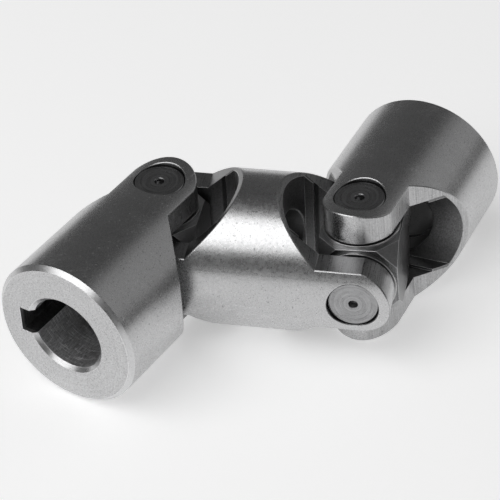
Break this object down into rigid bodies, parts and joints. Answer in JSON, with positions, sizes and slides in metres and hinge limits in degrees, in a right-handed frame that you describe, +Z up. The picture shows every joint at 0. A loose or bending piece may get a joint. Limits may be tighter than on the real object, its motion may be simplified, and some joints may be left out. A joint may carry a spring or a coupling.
{
  "type": "double universal joint",
  "caption": "Double universal joint with keyed bores: a middle yoke forked at both ends, a pinned cross block in each fork, and an end yoke on each block.",
  "frame": {"origin": "middle of the base of the box round the joint as it lies, on the table plane", "axes": "+X along the middle yoke, towards the right-hand fork; +Z up, along the end yokes' pins"},
  "size_m": [0.0808, 0.0652, 0.0284],
  "materials": {
    "yoke_steel": "fine turned and ground",
    "block_steel": "ground",
    "pin_steel": "turned ends",
    "washer_steel": "hardened, dull"
  },
  "bodies": {
    "middle": {"middle_yoke": "yoke_steel"},
    "cross_left": {"block_left": "block_steel", "long_pin_left": "pin_steel", "short_pin_left_top": "pin_steel", "short_pin_left_bottom": "pin_steel", "locking_pin_left": "pin_steel", "washer_left_front": "washer_steel", "washer_left_back": "washer_steel", "washer_left_top": "washer_steel", "washer_left_bottom": "washer_steel"},
    "end_left": {"end_yoke_left": "yoke_steel"},
    "cross_right": {"block_right": "block_steel", "long_pin_right": "pin_steel", "short_pin_right_top": "pin_steel", "short_pin_right_bottom": "pin_steel", "locking_pin_right": "pin_steel", "washer_right_front": "washer_steel", "washer_right_back": "washer_steel", "washer_right_top": "washer_steel", "washer_right_bottom": "washer_steel"},
    "end_right": {"end_yoke_right": "yoke_steel"}
  },
  "joints": [
    {"name": "tilt_left", "type": "hinge", "parent": "middle", "child": "cross_left", "pos_m": [-0.01655, 0.00019, 0.01408], "axis": [0, 1, 0], "range_deg": [-10, 10]},
    {"name": "swing_left", "type": "hinge", "parent": "cross_left", "child": "end_left", "pos_m": [-0.01655, 0.00019, 0.01408], "axis": [0, 0, 1], "range_deg": [-136.2, 0]},
    {"name": "tilt_right", "type": "hinge", "parent": "middle", "child": "cross_right", "pos_m": [0.01945, 0.00019, 0.01408], "axis": [0, 1, 0], "range_deg": [-0.7, 6.3]},
    {"name": "swing_right", "type": "hinge", "parent": "cross_right", "child": "end_right", "pos_m": [0.01945, 0.00019, 0.01408], "axis": [-0.0488, 0, 0.9988], "range_deg": [-150.4, 0]}
  ]
}
